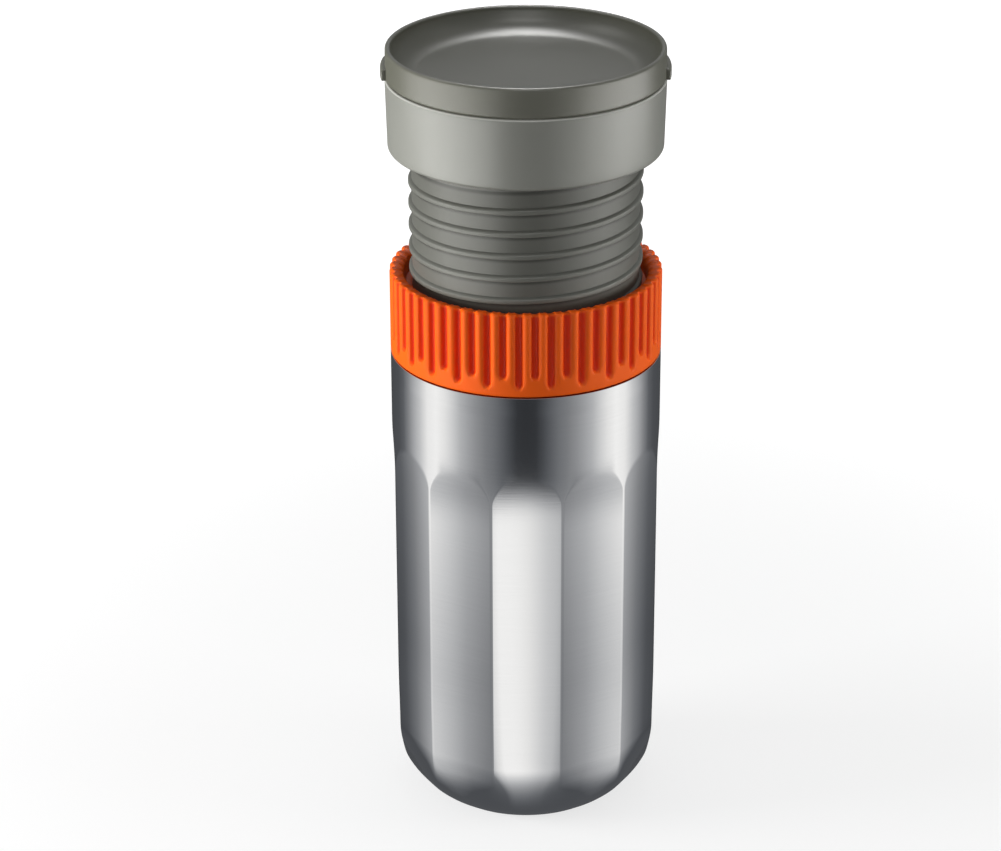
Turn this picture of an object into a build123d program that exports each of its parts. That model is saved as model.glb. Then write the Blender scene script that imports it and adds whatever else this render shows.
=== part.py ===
"""Portable coffee maker that presses by vacuum, drawn as it stands while it brews.

A double-walled steel mug carries a ribbed ring on its neck. The ring is a nut: turning it lifts
a threaded water chamber out of the mug, and the piston seal under the chamber pulls the water
through the coffee. All sizes are millimetres, +Z is up, and the origin is the middle of the
mug's base. The piece is drawn with the chamber part way up, as it is in use.
"""

import os
from math import asin, cos, degrees, floor, radians, sin, tan

from build123d import *

os.makedirs("parts", exist_ok=True)

# Clearances that the pieces share
cut_overrun = 2.0  # how far a cutter reaches past the material that it removes
bond_gap = 0.03  # pieces that are moulded, welded or pressed together
seat_gap = 0.05  # flat faces of two assemblies that rest on each other
running_gap = 0.15  # the ring's skirt round the mug's neck
sliding_gap = 0.2  # the basket's neck inside the chamber
seal_gap = 0.1  # a sealing lip beside the wall that it wipes
thread_gap = 0.25  # all round the thread inside the ring

# Mug
body_radius = 37.0  # the cylinder that all the outer pieces follow
mug_height = 134.7  # base to the shoulder under the ring
facet_count = 12
facet_inset = 0.87  # how far the middle of a flat lies inside the body
facet_drop = 35.7  # shoulder to where a flat begins to fade out
runout_radius = 75.0  # curve by which a flat fades out
ridge_swell = 0.6  # how far the steel round the flats stands outside the body
swell_drop = 22.7  # shoulder to where that swelling begins
swell_length = 13.0
heel_radius = 24.0  # the large rounding of the mug's foot
toe_radius = 7.0  # the tighter rounding that meets the base
toe_angle = 60.0  # degrees below level where the toe takes over
shell_wall = 0.9  # steel of the outer shell in the middle of a flat
shoulder_round = 0.6
shoulder_wall = 1.0
neck_step = 3.0  # how far the neck lies inside the body
neck_height = 9.3
neck_wall = 0.6
lip_width = 1.8  # neck's outside to the bore that the piston seal wipes
liner_wall = 0.5
liner_floor = 9.0  # inside floor, above the base
liner_corner = 8.0
lip_thickness = 0.9
lip_round = 0.35
base_land = 3.1  # flat ring that the mug stands on, round the base plate
base_plate_thickness = 0.9
base_recess = 0.6  # how far the plate lies inside the base
base_ledge = 1.5
getter_radius = 6.0
getter_thickness = 1.6
getter_chamfer = 0.4

# Ring
ring_height = 23.4
shoulder_gap = 0.3  # shadow line between the ring and the mug
washer_thickness = 0.8
washer_margin = 0.3
grip_wall = 1.7
skirt_rise = 0.4  # the core's skirt ends this far above the grip
grip_rim = 2.0  # width of the grip's top edge
grip_mouth_depth = 4.55  # grip's top edge down to the nut
grip_throat_gap = 0.9  # grip to the thread where it lies on the nut
grip_rim_round = 0.9
grip_toe_round = 0.5
groove_count = 54  # every second one is short
groove_radius = 1.2
long_groove_foot = 3.2  # plain band under a long groove
short_groove_foot = 5.9
groove_phase = -3.3  # degrees from the front to the nearest long groove

# Water chamber
lift_shown = 34.2  # ring top to collar, as the piece is drawn
chamber_length = 117.2  # threaded tube below the collar
tube_wall = 2.0
thread_lead = 6.2
thread_height = 1.1
thread_room = 0.5  # thread to the mug's bore
thread_base = 2.2
thread_crest = 1.0
thread_root = 0.4  # how deep the thread is rooted in its tube
thread_rise = 5.6  # tube's lower end to the first turn
thread_drop = 4.65  # collar to the last turn
tube_socket = 4.0  # tube inside the collar
screen_ledge_height = 8.0  # tube's lower end to the ledge under the shower screen
screen_ledge_width = 2.0
screen_ledge_thickness = 1.5

# Filling collar
collar_height = 19.4
collar_foot_step = 0.1  # how far the collar's foot lies inside the body
collar_flare = 0.4  # how far its rim stands outside the body
collar_wall = 1.9
collar_foot_round = 1.4
funnel_start = 0.6  # plain step above the tube's end
funnel_height = 6.4
relief_gap = 2.0  # wall between the tube's socket and the groove in the collar's underside
relief_width = 1.6
relief_depth = 6.0
oring_section = 1.2
oring_rise = 2.2  # collar's underside to the middle of its seal

# Lid
lid_step = 0.1  # how far the lid lies inside the collar's rim
lid_height = 7.9  # skirt above the seam
lid_draft = 0.1
seam_gap = 0.4
seam_depth = 0.8
rim_width = 1.4
rim_round = 0.6
dish_depth = 7.0
dish_round = 6.3
lid_floor = 1.4
plug_foot_gap = 2.0  # funnel to the lid's plug
plug_wall = 2.2
plug_gap = 0.3
gasket_height = 2.0
gasket_groove_depth = 1.0
ear_length = 12.4
ear_reach = 1.2
ear_height = 3.1
ear_round = 0.7

# Shower screen
screen_thickness = 0.4
screen_hole = 1.6
screen_margin = 4.0  # plain border outside the holes
screen_rings = 5
screen_gap = 0.2
snap_ring_width = 1.3
snap_ring_height = 1.0
snap_ring_opening = 30.0  # degrees

# Basket
basket_depth = 30.9  # tube's lower end to the basket's foot
basket_step = 1.8  # how far the basket lies inside the tube
basket_wall = 2.0
basket_foot_round = 2.0
basket_floor = 2.1
floor_ring = 2.3
spoke_count = 6
spoke_width = 1.8
spoke_hub = 4.0
flange_gap = 1.0  # flange to the mug's bore
flange_height = 6.1
flange_web = 1.2
basket_neck = 6.0
gasket_thickness = 1.0
gasket_recess = 0.7
gasket_width = 2.1
piston_groove_height = 3.4
piston_groove_depth = 1.8
piston_lip = 0.8
clamp_ring_height = 1.6
clamp_ring_width = 2.0
lug_count = 3
lug_angle = 12.0  # degrees that one lug spans
lug_reach = 1.1
lug_root = 0.5  # how deep a lug is rooted in the basket's neck
lug_height = 2.2
lug_rise = 2.2  # tube's lower end to the lug
lug_room = 0.2
lug_turn = 30.0  # degrees from unlocked to locked
lug_slack = 1.0  # degrees of play beside a lug

# Levels and radii that follow from the sizes above
ridge_radius = body_radius + ridge_swell
facet_apothem = body_radius - facet_inset
facet_flat_top = mug_height - facet_drop
neck_radius = body_radius - neck_step
bore_radius = neck_radius - lip_width
tube_radius = bore_radius - thread_room - thread_height
shell_bore = facet_apothem - shell_wall
lip_level = mug_height + neck_height
ring_bottom = mug_height + shoulder_gap
ring_top = ring_bottom + ring_height
nut_bottom = lip_level + washer_thickness + seat_gap
nut_top = ring_top - grip_mouth_depth
core_radius = body_radius - grip_wall
collar_bottom = ring_top + lift_shown
collar_top = collar_bottom + collar_height
chamber_bottom = collar_bottom - chamber_length
chamber_top = collar_bottom + tube_socket
chamber_bore = tube_radius - tube_wall
thread_bottom = chamber_bottom + thread_rise
thread_length = chamber_length - thread_rise - thread_drop
collar_rim_radius = body_radius + collar_flare
lid_bottom = collar_top + seam_gap
lid_top = lid_bottom + lid_height
lid_radius = collar_rim_radius - lid_step
basket_bore = tube_radius - basket_step - basket_wall
screen_pitch = (basket_bore - floor_ring - screen_margin) / screen_rings


def section(inner, outer, low, high, mode=Mode.ADD):
    """A rectangle of the half section, between two radii and two levels."""
    with Locations(((inner + outer) / 2, (low + high) / 2)):
        Rectangle(outer - inner, high - low, mode=mode)


def mesh_places():
    """Middles of the holes in a screen: one in the centre, then rings of six, twelve and so on."""
    places = [(0, 0)]
    for ring in range(1, screen_rings + 1):
        for step in range(6 * ring):
            turn = radians(60 * step / ring)
            places.append((ring * screen_pitch * cos(turn), ring * screen_pitch * sin(turn)))
    return places


def thread_profile(path, extra, root):
    """The thread's section across the start of its path, a trapezium with its foot sunk by root."""
    with BuildSketch(Plane(origin=path @ 0, x_dir=(1, 0, 0), z_dir=path % 0)) as profile:
        slope = (thread_base - thread_crest) / 2 / thread_height
        foot = thread_base / 2 + extra + slope * root
        crest = thread_crest / 2 + extra
        with BuildLine():
            Polyline(
                (-root, -foot),
                (thread_height + extra, -crest),
                (thread_height + extra, crest),
                (-root, foot),
                close=True,
            )
        make_face()
    return profile.sketch


# Mug: outer shell with its flats, foot and neck
heel_centre = (ridge_radius - heel_radius, toe_radius + (heel_radius - toe_radius) * sin(radians(toe_angle)))
toe_centre = (heel_centre[0] + (heel_radius - toe_radius) * cos(radians(toe_angle)), toe_radius)
swell_radius = (swell_length**2 + ridge_swell**2) / (4 * ridge_swell)
swell_angle = degrees(asin(swell_length / 2 / swell_radius))
swell_top = mug_height - swell_drop
swell_bottom = swell_top - swell_length
base_plate_radius = toe_centre[0] - base_land
shell_inset = ridge_radius - shell_bore
neck_top = lip_level - lip_thickness

with BuildSketch(Plane.XZ) as flat_section:
    with BuildLine():
        Line((facet_apothem, 0), (facet_apothem, facet_flat_top))
        CenterArc((facet_apothem + runout_radius, facet_flat_top), runout_radius, 90, 90)
        Polyline(
            (facet_apothem + runout_radius, facet_flat_top + runout_radius),
            (facet_apothem + runout_radius, 0),
            (facet_apothem, 0),
        )
    make_face()
flat_reach = ridge_radius * tan(radians(180 / facet_count)) + cut_overrun

with BuildPart() as flat_cutter:
    extrude(flat_section.sketch, amount=flat_reach, both=True)

with BuildPart() as mug_outer_shell:
    with BuildSketch(Plane.XZ):
        with BuildLine():
            Polyline(
                (toe_centre[0], 0),
                (0, 0),
                (0, neck_top),
                (neck_radius, neck_top),
                (neck_radius, mug_height),
                (body_radius - shoulder_round, mug_height),
            )
            CenterArc((body_radius - shoulder_round, mug_height - shoulder_round), shoulder_round, 0, 90)
            Line((body_radius, mug_height - shoulder_round), (body_radius, swell_top))
            CenterArc((body_radius + swell_radius, swell_top), swell_radius, 180, swell_angle)
            CenterArc((ridge_radius - swell_radius, swell_bottom), swell_radius, 0, swell_angle)
            Line((ridge_radius, swell_bottom), (ridge_radius, heel_centre[1]))
            CenterArc(heel_centre, heel_radius, -toe_angle, toe_angle)
            CenterArc(toe_centre, toe_radius, -90, 90 - toe_angle)
        make_face()
    revolve(axis=Axis.Z)
    with PolarLocations(0, facet_count):
        add(flat_cutter.part, mode=Mode.SUBTRACT)
    # The vacuum space follows the shell inside the thinnest steel.
    with BuildSketch(Plane.XZ):
        with BuildLine():
            Polyline(
                (toe_centre[0], shell_inset),
                (0, shell_inset),
                (0, lip_level),
                (neck_radius - neck_wall, lip_level),
                (neck_radius - neck_wall, mug_height - shoulder_wall),
                (shell_bore, mug_height - shoulder_wall),
                (shell_bore, heel_centre[1]),
            )
            CenterArc(heel_centre, heel_radius - shell_inset, -toe_angle, toe_angle)
            CenterArc(toe_centre, toe_radius - shell_inset, -90, 90 - toe_angle)
        make_face()
    revolve(axis=Axis.Z, mode=Mode.SUBTRACT)
    with BuildSketch(Plane.XZ):
        section(0, base_plate_radius, 0, base_recess + base_plate_thickness)
        section(0, base_plate_radius - base_ledge, 0, shell_inset + cut_overrun)
    revolve(axis=Axis.Z, mode=Mode.SUBTRACT)
mug_outer_shell.part.label = "mug_outer_shell"
export_step(mug_outer_shell.part, "parts/mug_outer_shell.step")

# Mug: inner cup with its rolled lip
with BuildPart() as mug_inner_liner:
    corner_centre = (bore_radius - liner_corner, liner_floor + liner_corner)
    with BuildSketch(Plane.XZ) as liner_section:
        with BuildLine():
            Polyline(
                (corner_centre[0], liner_floor),
                (0, liner_floor),
                (0, liner_floor - liner_wall),
                (corner_centre[0], liner_floor - liner_wall),
            )
            CenterArc(corner_centre, liner_corner + liner_wall, -90, 90)
            Polyline(
                (bore_radius + liner_wall, corner_centre[1]),
                (bore_radius + liner_wall, neck_top),
                (neck_radius, neck_top),
                (neck_radius, lip_level),
                (bore_radius, lip_level),
                (bore_radius, corner_centre[1]),
            )
            CenterArc(corner_centre, liner_corner, -90, 90)
        make_face()
        fillet(liner_section.vertices().group_by(Axis.Y)[-1], radius=lip_round)
    revolve(axis=Axis.Z)
mug_inner_liner.part.label = "mug_inner_liner"
export_step(mug_inner_liner.part, "parts/mug_inner_liner.step")

# Mug: base plate in its recess, and the getter that keeps the vacuum
with BuildPart() as mug_base_plate:
    with BuildSketch(Plane.XY.offset(base_recess)):
        Circle(base_plate_radius - bond_gap)
    extrude(amount=base_plate_thickness)
mug_base_plate.part.label = "mug_base_plate"
export_step(mug_base_plate.part, "parts/mug_base_plate.step")

with BuildPart() as vacuum_getter:
    with BuildSketch(Plane.XY.offset(base_recess + base_plate_thickness)):
        Circle(getter_radius)
    extrude(amount=getter_thickness)
    chamfer(vacuum_getter.faces().sort_by(Axis.Z)[-1].edges(), length=getter_chamfer)
vacuum_getter.part.label = "vacuum_getter"
export_step(vacuum_getter.part, "parts/vacuum_getter.step")

# Slip washer on the lip, on which the ring turns
with BuildPart() as lip_washer:
    with BuildSketch(Plane.XY.offset(lip_level)):
        Circle(neck_radius - washer_margin)
        Circle(bore_radius, mode=Mode.SUBTRACT)
    extrude(amount=washer_thickness)
lip_washer.part.label = "lip_washer"
export_step(lip_washer.part, "parts/lip_washer.step")

# Paths of the right-handed thread: on the chamber's tube, and as much of it as crosses the nut
with BuildLine() as thread_path:
    Helix(thread_lead, thread_length, tube_radius, center=(0, 0, thread_bottom))
nut_turns_below = floor((nut_bottom - thread_base - thread_bottom) / thread_lead)
nut_thread_bottom = thread_bottom + nut_turns_below * thread_lead
nut_thread_height = nut_top + thread_base - nut_thread_bottom
with BuildLine() as nut_path:
    Helix(thread_lead, nut_thread_height, tube_radius, center=(0, 0, nut_thread_bottom))

# Ring: the nut on its skirt, with a groove for the chamber's thread
with BuildPart() as ring_core:
    with BuildSketch(Plane.XZ):
        section(neck_radius + running_gap, core_radius, ring_bottom + skirt_rise, nut_top)
        section(tube_radius + thread_gap, core_radius, nut_bottom, nut_top)
    revolve(axis=Axis.Z)
    sweep(
        thread_profile(nut_path.line, thread_gap, 0),
        path=nut_path.line,
        is_frenet=True,
        mode=Mode.SUBTRACT,
    )
ring_core.part.label = "ring_core"
export_step(ring_core.part, "parts/ring_core.step")

# Ring: soft grip with long and short grooves, open at the top
grip_throat_radius = tube_radius + thread_height + grip_throat_gap

with BuildPart() as ring_grip:
    with BuildSketch(Plane.XZ) as grip_section:
        with BuildLine():
            Polyline(
                (core_radius + bond_gap, ring_bottom),
                (body_radius, ring_bottom),
                (body_radius, ring_top),
                (body_radius - grip_rim, ring_top),
                (grip_throat_radius, nut_top),
                (core_radius + bond_gap, nut_top),
                close=True,
            )
        make_face()
        fillet(grip_section.vertices().group_by(Axis.Y)[-1], radius=grip_rim_round)
        fillet(grip_section.vertices().group_by(Axis.Y)[0].sort_by(Axis.X)[-1], radius=grip_toe_round)
    revolve(axis=Axis.Z)
    for first, foot in ((0, long_groove_foot), (1, short_groove_foot)):
        with BuildSketch(Plane.XZ) as groove_section:
            with BuildLine():
                groove_end = ring_bottom + foot + groove_radius
                CenterArc((body_radius, groove_end), groove_radius, -90, 90)
                Polyline(
                    (body_radius + groove_radius, groove_end),
                    (body_radius + groove_radius, ring_top + cut_overrun),
                    (body_radius, ring_top + cut_overrun),
                    (body_radius, ring_bottom + foot),
                )
            make_face()
        groove_axis = Axis((body_radius, 0, 0), (0, 0, 1))
        groove = revolve(groove_section.sketch, axis=groove_axis, mode=Mode.PRIVATE)
        start = groove_phase - 90 + first * 360 / groove_count
        with PolarLocations(0, groove_count // 2, start_angle=start):
            add(groove, mode=Mode.SUBTRACT)
ring_grip.part.label = "ring_grip"
export_step(ring_grip.part, "parts/ring_grip.step")

# Water chamber: tube, thread, ledge for the shower screen and slots for the basket's lugs
screen_ledge = chamber_bottom + screen_ledge_height
screen_level = screen_ledge + screen_ledge_thickness
lug_bottom = chamber_bottom + lug_rise
lug_top = lug_bottom + lug_height
neck_outer = chamber_bore - sliding_gap
lug_radius = neck_outer + lug_reach
lug_span = lug_angle + 2 * lug_slack

with BuildPart() as lug_slots:
    with BuildSketch(Plane.XZ) as slot_section:
        section(neck_outer, lug_radius + lug_room, lug_bottom - lug_room, lug_top + lug_room)
    with BuildSketch(Plane.XZ) as entry_section:
        section(neck_outer, lug_radius + lug_room, chamber_bottom - cut_overrun, lug_top + lug_room)
    revolve(slot_section.sketch, axis=Axis.Z, revolution_arc=lug_span + lug_turn)
    revolve(entry_section.sketch, axis=Axis.Z, revolution_arc=lug_span)

with BuildPart() as water_chamber:
    with BuildSketch(Plane.XZ):
        section(chamber_bore, tube_radius, chamber_bottom, chamber_top)
        section(chamber_bore - screen_ledge_width, tube_radius, screen_ledge, screen_level)
    revolve(axis=Axis.Z)
    with PolarLocations(0, lug_count):
        add(lug_slots.part, mode=Mode.SUBTRACT)
    sweep(thread_profile(thread_path.line, 0, thread_root), path=thread_path.line, is_frenet=True)
water_chamber.part.label = "water_chamber"
export_step(water_chamber.part, "parts/water_chamber.step")

# Filling collar: a funnel on the tube's end, and the round seal in its socket
socket_radius = tube_radius + bond_gap
mouth_radius = collar_rim_radius - collar_wall
funnel_bottom = chamber_top + funnel_start
oring_level = collar_bottom + oring_rise
oring_centre = socket_radius + oring_section / 2
relief_inner = socket_radius + relief_gap

with BuildPart() as filling_collar:
    with BuildSketch(Plane.XZ) as collar_section:
        with BuildLine():
            Polyline(
                (socket_radius, collar_bottom),
                (body_radius - collar_foot_step, collar_bottom),
                (collar_rim_radius, collar_top),
                (mouth_radius, collar_top),
                (mouth_radius, funnel_bottom + funnel_height),
                (chamber_bore, funnel_bottom),
                (chamber_bore, chamber_top),
                (socket_radius, chamber_top),
                close=True,
            )
        make_face()
        fillet(collar_section.vertices().group_by(Axis.Y)[0].sort_by(Axis.X)[-1], radius=collar_foot_round)
        section(
            relief_inner, relief_inner + relief_width, collar_bottom, collar_bottom + relief_depth, Mode.SUBTRACT
        )
        seal_room = oring_section / 2 + bond_gap
        section(
            socket_radius, oring_centre + seal_room, oring_level - seal_room, oring_level + seal_room, Mode.SUBTRACT
        )
    revolve(axis=Axis.Z)
filling_collar.part.label = "filling_collar"
export_step(filling_collar.part, "parts/filling_collar.step")

with BuildPart() as collar_seal:
    with BuildSketch(Plane.XZ):
        with Locations((oring_centre, oring_level)):
            Circle(oring_section / 2)
    revolve(axis=Axis.Z)
collar_seal.part.label = "collar_seal"
export_step(collar_seal.part, "parts/collar_seal.step")

# Shower screen on the ledge, held by an open spring ring
with BuildPart() as shower_screen:
    with BuildSketch(Plane.XY.offset(screen_level)):
        Circle(chamber_bore - screen_gap)
        with Locations(mesh_places()):
            Circle(screen_hole / 2, mode=Mode.SUBTRACT)
    extrude(amount=screen_thickness)
shower_screen.part.label = "shower_screen"
export_step(shower_screen.part, "parts/shower_screen.step")

with BuildPart() as screen_snap_ring:
    snap_level = screen_level + screen_thickness
    snap_radius = chamber_bore - bond_gap
    with BuildSketch(Plane.XZ):
        section(snap_radius - snap_ring_width, snap_radius, snap_level, snap_level + snap_ring_height)
    revolve(axis=Axis.Z, revolution_arc=360 - snap_ring_opening)
screen_snap_ring.part.label = "screen_snap_ring"
export_step(screen_snap_ring.part, "parts/screen_snap_ring.step")

# Lid: dish, skirt with two ears, and the plug with its gasket
plug_radius = mouth_radius - plug_gap
plug_bottom = funnel_bottom + funnel_height + plug_foot_gap
groove_low = (plug_bottom + collar_top - gasket_height) / 2
groove_high = groove_low + gasket_height
dish_level = lid_top - dish_depth
dish_radius = lid_radius - lid_draft - rim_width
seat_radius = lid_radius - seam_depth

with BuildPart() as lid:
    with BuildSketch(Plane.XY.offset(lid_bottom)):
        Circle(lid_radius + ear_reach)
        Circle(dish_radius, mode=Mode.SUBTRACT)
        Rectangle(2 * (lid_radius + ear_reach), ear_length, mode=Mode.INTERSECT)
    extrude(amount=ear_height)
    corners = lid.edges().filter_by(Axis.Z).filter_by(lambda edge: abs(edge.center().X) > lid_radius)
    fillet(corners, radius=ear_round)
    rims = lid.edges().group_by(Axis.Z)[-1].filter_by(lambda edge: abs(edge.center().X) > lid_radius)
    fillet(rims, radius=ear_round)
    with BuildSketch(Plane.XZ) as lid_section:
        with BuildLine():
            Polyline(
                (dish_radius - dish_round, dish_level),
                (0, dish_level),
                (0, dish_level - lid_floor),
                (plug_radius - plug_wall, dish_level - lid_floor),
                (plug_radius - plug_wall, plug_bottom),
                (plug_radius, plug_bottom),
                (plug_radius, collar_top),
                (seat_radius, collar_top),
                (seat_radius, lid_bottom),
                (lid_radius, lid_bottom),
                (lid_radius - lid_draft, lid_top),
                (dish_radius, lid_top),
                (dish_radius, dish_level + dish_round),
            )
            CenterArc((dish_radius - dish_round, dish_level + dish_round), dish_round, -90, 90)
        make_face()
        fillet(lid_section.vertices().group_by(Axis.Y)[-1], radius=rim_round)
        section(plug_radius - gasket_groove_depth, plug_radius, groove_low, groove_high, Mode.SUBTRACT)
    revolve(axis=Axis.Z)
lid.part.label = "lid"
export_step(lid.part, "parts/lid.step")

with BuildPart() as lid_gasket:
    with BuildSketch(Plane.XZ) as gasket_section:
        with BuildLine():
            Polyline(
                (plug_radius - gasket_groove_depth + bond_gap, groove_low + bond_gap),
                (plug_radius, groove_low + bond_gap),
                (mouth_radius - seal_gap, (groove_low + groove_high) / 2),
                (plug_radius, groove_high - bond_gap),
                (plug_radius - gasket_groove_depth + bond_gap, groove_high - bond_gap),
                close=True,
            )
        make_face()
    revolve(axis=Axis.Z)
lid_gasket.part.label = "lid_gasket"
export_step(lid_gasket.part, "parts/lid_gasket.step")

# Basket: cup with a spoked floor, a flange for the piston seal and a neck with lugs
basket_radius = basket_bore + basket_wall
basket_bottom = chamber_bottom - basket_depth
flange_top = chamber_bottom - gasket_thickness + gasket_recess
flange_bottom = flange_top - flange_height
piston_low = flange_bottom + flange_web
piston_high = piston_low + piston_groove_height
flange_radius = bore_radius - flange_gap
piston_groove_radius = flange_radius - piston_groove_depth
filter_level = basket_bottom + basket_floor

with BuildPart() as filter_basket:
    with BuildSketch(Plane.XZ) as basket_section:
        section(basket_bore, basket_radius, basket_bottom, flange_bottom)
        section(basket_bore - floor_ring, basket_radius, basket_bottom, filter_level)
        fillet(basket_section.vertices().group_by(Axis.Y)[0].sort_by(Axis.X)[-1], radius=basket_foot_round)
        section(basket_bore, flange_radius, flange_bottom, flange_top)
        section(piston_groove_radius, flange_radius, piston_low, piston_high, Mode.SUBTRACT)
        gasket_room = neck_outer + gasket_width + bond_gap
        section(basket_bore, gasket_room, flange_top - gasket_recess, flange_top, Mode.SUBTRACT)
        section(basket_bore, neck_outer, flange_bottom, flange_top + basket_neck)
    revolve(axis=Axis.Z)
    with BuildSketch(Plane.XY.offset(basket_bottom)):
        Circle(spoke_hub)
        with PolarLocations((basket_bore - floor_ring) / 2, spoke_count):
            Rectangle(basket_bore, spoke_width)
    extrude(amount=basket_floor)
    with BuildSketch(Plane.XZ) as lug_section:
        section(neck_outer - lug_root, lug_radius, lug_bottom, lug_top)
    lug = revolve(lug_section.sketch, axis=Axis.Z, revolution_arc=lug_angle, mode=Mode.PRIVATE)
    with PolarLocations(0, lug_count, start_angle=lug_turn + lug_slack):
        add(lug)
filter_basket.part.label = "filter_basket"
export_step(filter_basket.part, "parts/filter_basket.step")

with BuildPart() as basket_gasket:
    with BuildSketch(Plane.XY.offset(flange_top - gasket_recess)):
        Circle(neck_outer + gasket_width)
        Circle(neck_outer + bond_gap, mode=Mode.SUBTRACT)
    extrude(amount=gasket_thickness)
basket_gasket.part.label = "basket_gasket"
export_step(basket_gasket.part, "parts/basket_gasket.step")

with BuildPart() as piston_seal:
    with BuildSketch(Plane.XZ):
        piston_middle = (piston_low + piston_high) / 2
        with BuildLine():
            Polyline(
                (piston_groove_radius + bond_gap, piston_low + bond_gap),
                (flange_radius, piston_low + bond_gap),
                (bore_radius - seal_gap, piston_middle - piston_lip / 2),
                (bore_radius - seal_gap, piston_middle + piston_lip / 2),
                (flange_radius, piston_high - bond_gap),
                (piston_groove_radius + bond_gap, piston_high - bond_gap),
                close=True,
            )
        make_face()
    revolve(axis=Axis.Z)
piston_seal.part.label = "piston_seal"
export_step(piston_seal.part, "parts/piston_seal.step")

# Basket: filter on the floor, and the ring that clamps it
with BuildPart() as basket_filter:
    with BuildSketch(Plane.XY.offset(filter_level)):
        Circle(basket_bore - screen_gap)
        with Locations(mesh_places()):
            Circle(screen_hole / 2, mode=Mode.SUBTRACT)
    extrude(amount=screen_thickness)
basket_filter.part.label = "basket_filter"
export_step(basket_filter.part, "parts/basket_filter.step")

with BuildPart() as filter_clamp_ring:
    with BuildSketch(Plane.XY.offset(filter_level + screen_thickness)):
        Circle(basket_bore - bond_gap)
        Circle(basket_bore - clamp_ring_width, mode=Mode.SUBTRACT)
    extrude(amount=clamp_ring_height)
filter_clamp_ring.part.label = "filter_clamp_ring"
export_step(filter_clamp_ring.part, "parts/filter_clamp_ring.step")
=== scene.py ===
# %% [markdown]
# # A portable coffee maker, from solids to a finished picture
#
# The solids already exist: a steel mug, a screw ring, a threaded water chamber with its collar,
# a lid and a filter basket. This lesson loads them as a fixed frame and gives every piece the
# surface that it has in the hand: brushed steel with soft flats, a ribbed orange grip, a thread
# with rounded beads, and satin grey plastic.
#
# Everything is in metres. The mug's axis is Z, its base is the origin, and the front faces -Y.

# %% Load the frame
import math

import bpy
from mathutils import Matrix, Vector


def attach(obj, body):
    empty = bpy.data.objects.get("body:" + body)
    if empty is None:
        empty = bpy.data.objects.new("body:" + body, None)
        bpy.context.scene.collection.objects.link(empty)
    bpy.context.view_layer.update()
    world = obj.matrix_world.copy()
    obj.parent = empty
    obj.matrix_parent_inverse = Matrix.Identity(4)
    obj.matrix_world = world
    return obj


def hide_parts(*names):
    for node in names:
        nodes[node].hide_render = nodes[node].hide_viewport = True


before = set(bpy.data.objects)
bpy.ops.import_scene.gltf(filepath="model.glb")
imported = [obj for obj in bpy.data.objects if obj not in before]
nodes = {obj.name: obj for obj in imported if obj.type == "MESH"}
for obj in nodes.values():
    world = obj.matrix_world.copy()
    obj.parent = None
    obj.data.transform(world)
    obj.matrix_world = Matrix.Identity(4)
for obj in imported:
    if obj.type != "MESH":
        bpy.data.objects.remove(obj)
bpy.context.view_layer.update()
scene = bpy.context.scene
scene.view_settings.view_transform = "Standard"

# %% [markdown]
# ## Sizes that several steps share
#
# Sections are drawn in millimetres, as on a workshop drawing, and turned into metres when they are
# built. A size that more than one step needs is kept here.

# %% Shared sizes
MM = 0.001
body_radius = 37.0
flat_count = 12
flat_angle = 2 * math.pi / flat_count
ridge_radius, heel, toe = 37.6, 24.0, 7.0
heel_height = toe + (heel - toe) * math.sin(math.radians(60))
tube_radius, tube_bore, tube_top = 30.75, 28.6, 196.6
thread_start, lead = 81.0, 6.2
bead_root, bead_crest = 30.45, 31.6
collar_top = 212.0
print("the mug is", 2 * body_radius, "mm across, the thread climbs", lead, "mm in a turn")

# %% [markdown]
# ## The camera
#
# The picture looks down on the mug by 24 degrees with a long lens, so the mug's sides stay almost
# parallel. A long lens far away gives that, and a short one close by would not. The camera stands
# a little to the left, which puts the mug right of the middle.

# %% Camera
picture_width = 1001
focal_pixels = 3227
sensor_width = 36.0
pitch = math.radians(24.06)
turned_aside = math.radians(-0.19)
stands_left = 7.0 * MM
aim_height = 110.6 * MM
aim_distance = 894.2 * MM
sight_limit = 50.0

bpy.ops.object.select_all(action="DESELECT")
bpy.ops.object.camera_add(
    location=(-stands_left, -aim_distance * math.cos(pitch), aim_height + aim_distance * math.sin(pitch)),
)
camera = bpy.context.object
camera.name = "camera"
camera.rotation_mode = "ZYX"
camera.rotation_euler = (math.pi / 2 - pitch, 0, turned_aside)
camera.data.sensor_width = sensor_width
camera.data.sensor_fit = "HORIZONTAL"
camera.data.lens = sensor_width * focal_pixels / picture_width
camera.data.clip_end = sight_limit
scene.camera = camera
print("camera lens", round(camera.data.lens, 1), "mm")

# %% [markdown]
# ## Small helpers for nodes
#
# Materials are built from nodes, and a few short helpers keep that readable. The first ones make an
# empty material, add a node with its settings, find the place on an object, and mix two shaders.

# %% Node helpers
def new_material(name):
    """Makes a material and returns it with its tree and its Principled shader."""
    material = bpy.data.materials.new(name)
    material.use_nodes = True
    shader = material.node_tree.nodes["Principled BSDF"]
    return material, material.node_tree, shader


def add_node(tree, kind, **values):
    """Adds a node. A key that names an input sets it, any other key sets a property."""
    node = tree.nodes.new("ShaderNode" + kind)
    for key, value in values.items():
        label = key.replace("_", " ")
        if label in node.inputs:
            node.inputs[label].default_value = value
        else:
            setattr(node, key, value)
    return node


def object_place(tree):
    """Returns the place on the object as a vector, followed by its x, y and z."""
    place = add_node(tree, "TexCoord").outputs["Object"]
    split = add_node(tree, "SeparateXYZ")
    tree.links.new(place, split.inputs[0])
    return place, *split.outputs


def mix_shaders(tree, factor, first, second):
    """Mixes two shaders: a factor of 0 gives the first, 1 gives the second."""
    node = add_node(tree, "MixShader")
    for socket, value in zip(node.inputs, (factor, first.outputs[0], second.outputs[0])):
        tree.links.new(value, socket)
    return node


print("node helpers ready")

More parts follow.
